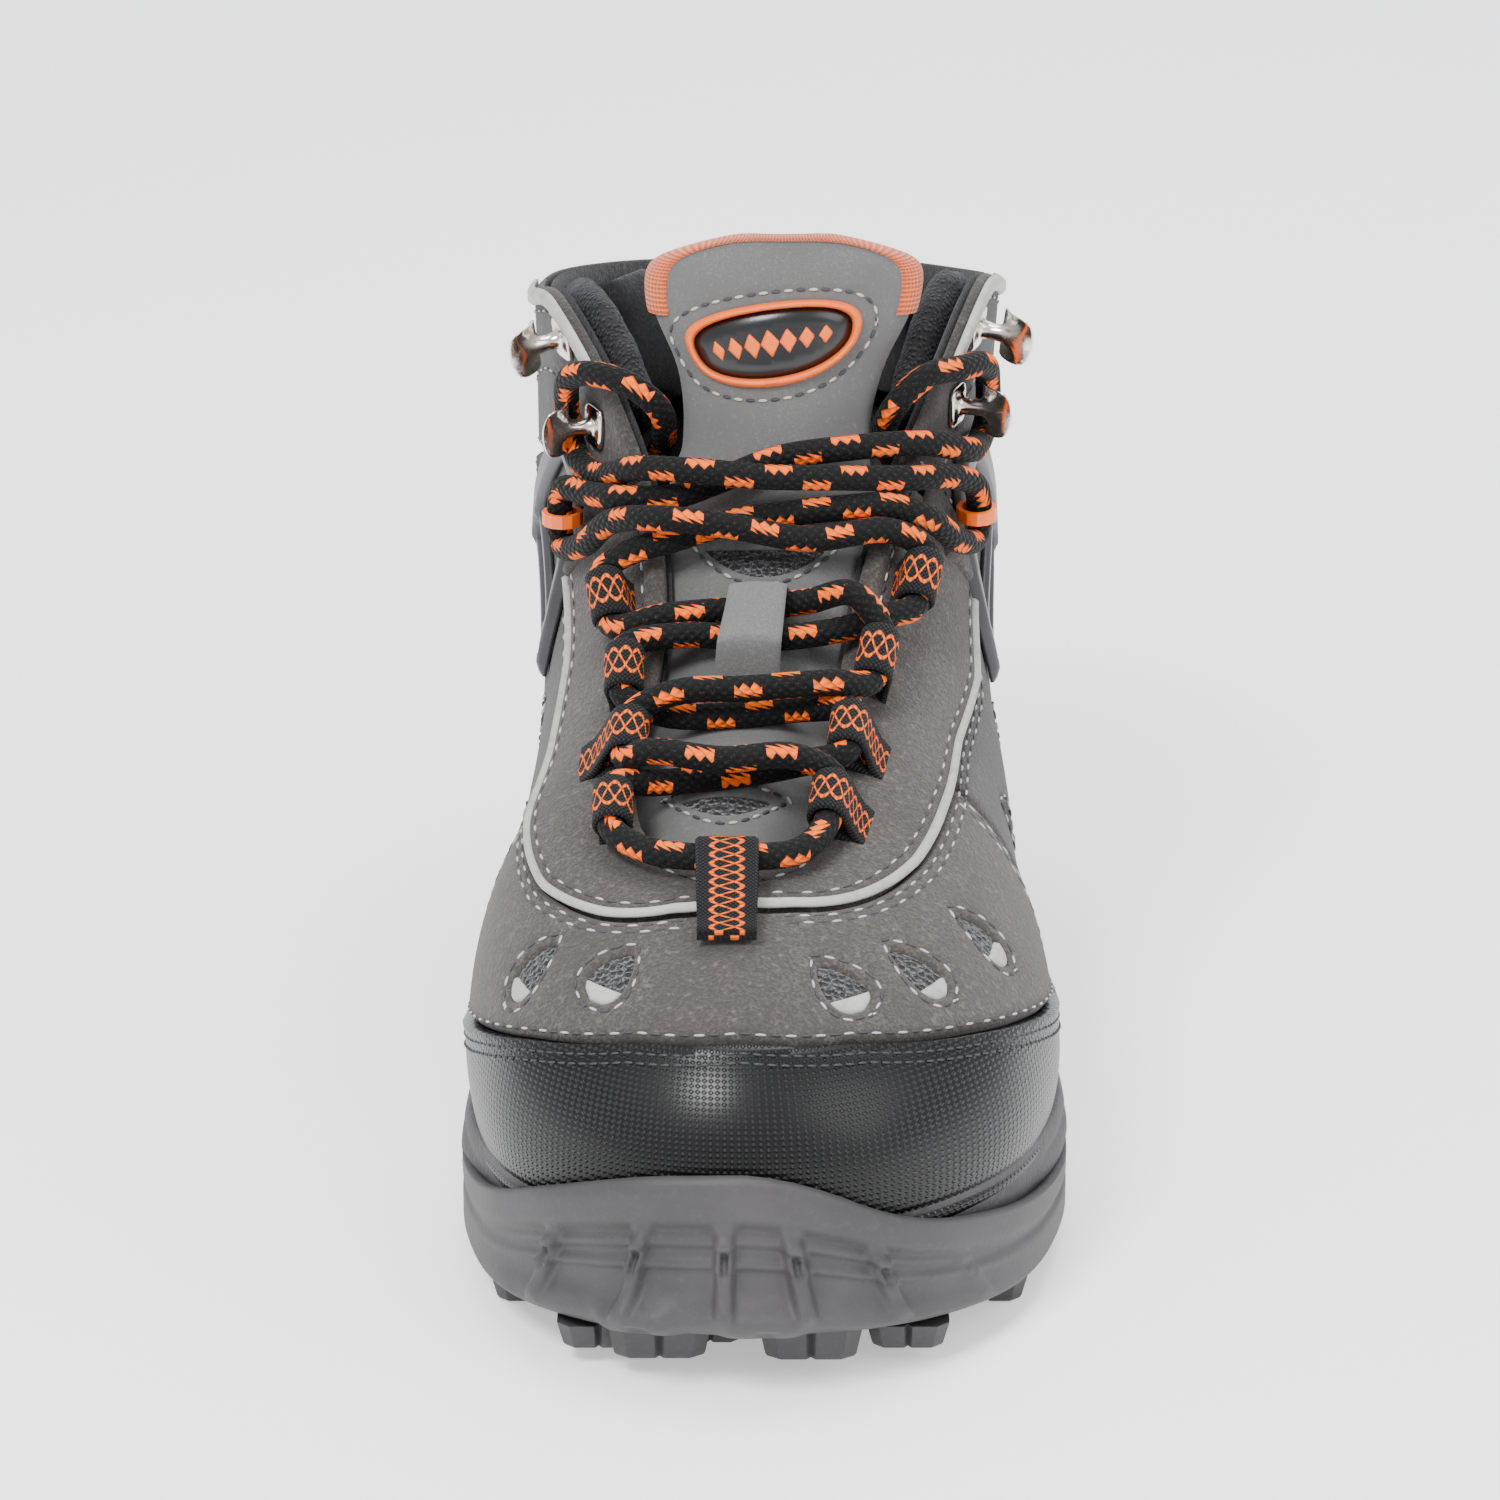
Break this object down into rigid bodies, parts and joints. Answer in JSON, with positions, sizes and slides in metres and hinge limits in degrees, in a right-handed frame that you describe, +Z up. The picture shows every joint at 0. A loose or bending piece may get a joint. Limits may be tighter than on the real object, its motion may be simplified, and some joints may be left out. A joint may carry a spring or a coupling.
{
  "type": "hiking boot",
  "caption": "Mid-height lace-up hiking boot for the left foot: lugged rubber sole, toe rand, suede upper, padded collar, webbing lace loops, speed hooks and a padded tongue.",
  "frame": {"origin": "middle of the boot's length and width, on the ground under the lugs", "axes": "+Z up, the toe points along -Y, the outer side of the foot is +X"},
  "size_m": [0.1135, 0.2979, 0.1718],
  "materials": {
    "sole_rubber": "matt, fine moulded grain",
    "midsole_foam": "matt moulded foam",
    "rand_rubber": "satin rubberised fabric",
    "suede": "napped",
    "dark_suede": "napped",
    "nubuck": "fine nubuck",
    "mesh_cloth": "spacer mesh",
    "webbing": "woven, with a contrast diamond pattern",
    "lace_yarn": "round braid with contrast flecks",
    "orange_trim": "ribbed knit",
    "orange_plastic": "satin",
    "light_trim": "synthetic strip, stitched",
    "frame_plastic": "moulded, satin",
    "badge_rubber": "polished",
    "nickel": "polished",
    "board": "fibre board",
    "steel": "rolled"
  },
  "bodies": {
    "boot": {"outsole": "sole_rubber", "midsole": "midsole_foam", "shank": "steel", "lasting_board": "board", "footbed_fore": "mesh_cloth", "lining": "mesh_cloth", "toe_rand": "rand_rubber", "vamp": "suede", "quarter_lateral": "dark_suede", "quarter_medial": "dark_suede", "eyestay_lateral": "suede", "eyestay_medial": "suede", "piping_lateral": "light_trim", "piping_medial": "light_trim", "ankle_flap_lateral": "dark_suede", "ankle_flap_medial": "dark_suede", "collar_trim_lateral": "light_trim", "collar_trim_medial": "light_trim", "collar_pad_lateral": "mesh_cloth", "collar_pad_medial": "mesh_cloth", "collar_pad_heel": "mesh_cloth", "heel_counter": "suede", "heel_cover": "dark_suede", "ankle_frame_lateral": "frame_plastic", "ankle_frame_medial": "frame_plastic", "tongue_lower": "nubuck", "tongue_keeper": "nubuck", "lace": "lace_yarn", "loop_medial_1": "webbing", "loop_medial_2": "webbing", "loop_medial_3": "webbing", "loop_medial_4": "webbing", "loop_lateral_1": "webbing", "loop_lateral_2": "webbing", "loop_lateral_3": "webbing", "loop_lateral_4": "webbing", "loop_toe": "webbing", "eyelet_medial": "orange_plastic", "eyelet_lateral": "orange_plastic", "aglet_medial": "orange_plastic", "aglet_lateral": "orange_plastic", "hook_medial_lower": "nickel", "hook_medial_upper": "nickel", "hook_lateral_lower": "nickel", "hook_lateral_upper": "nickel"},
    "tongue_top": {"tongue_upper": "nubuck", "tongue_binding": "orange_trim", "badge": "badge_rubber", "badge_ring": "orange_plastic"},
    "heel_bed": {"footbed_heel": "mesh_cloth"}
  },
  "joints": [
    {"name": "tongue_fold", "type": "hinge", "parent": "boot", "child": "tongue_top", "pos_m": [0, 0.0055, 0.1375], "axis": [1, 0, 0], "range_deg": [-6, 28], "stiffness_Nm_per_rad": 0.05},
    {"name": "footbed_lift", "type": "hinge", "parent": "boot", "child": "heel_bed", "pos_m": [0, -0.047, 0.024], "axis": [1, 0, 0], "range_deg": [0, 20]}
  ]
}
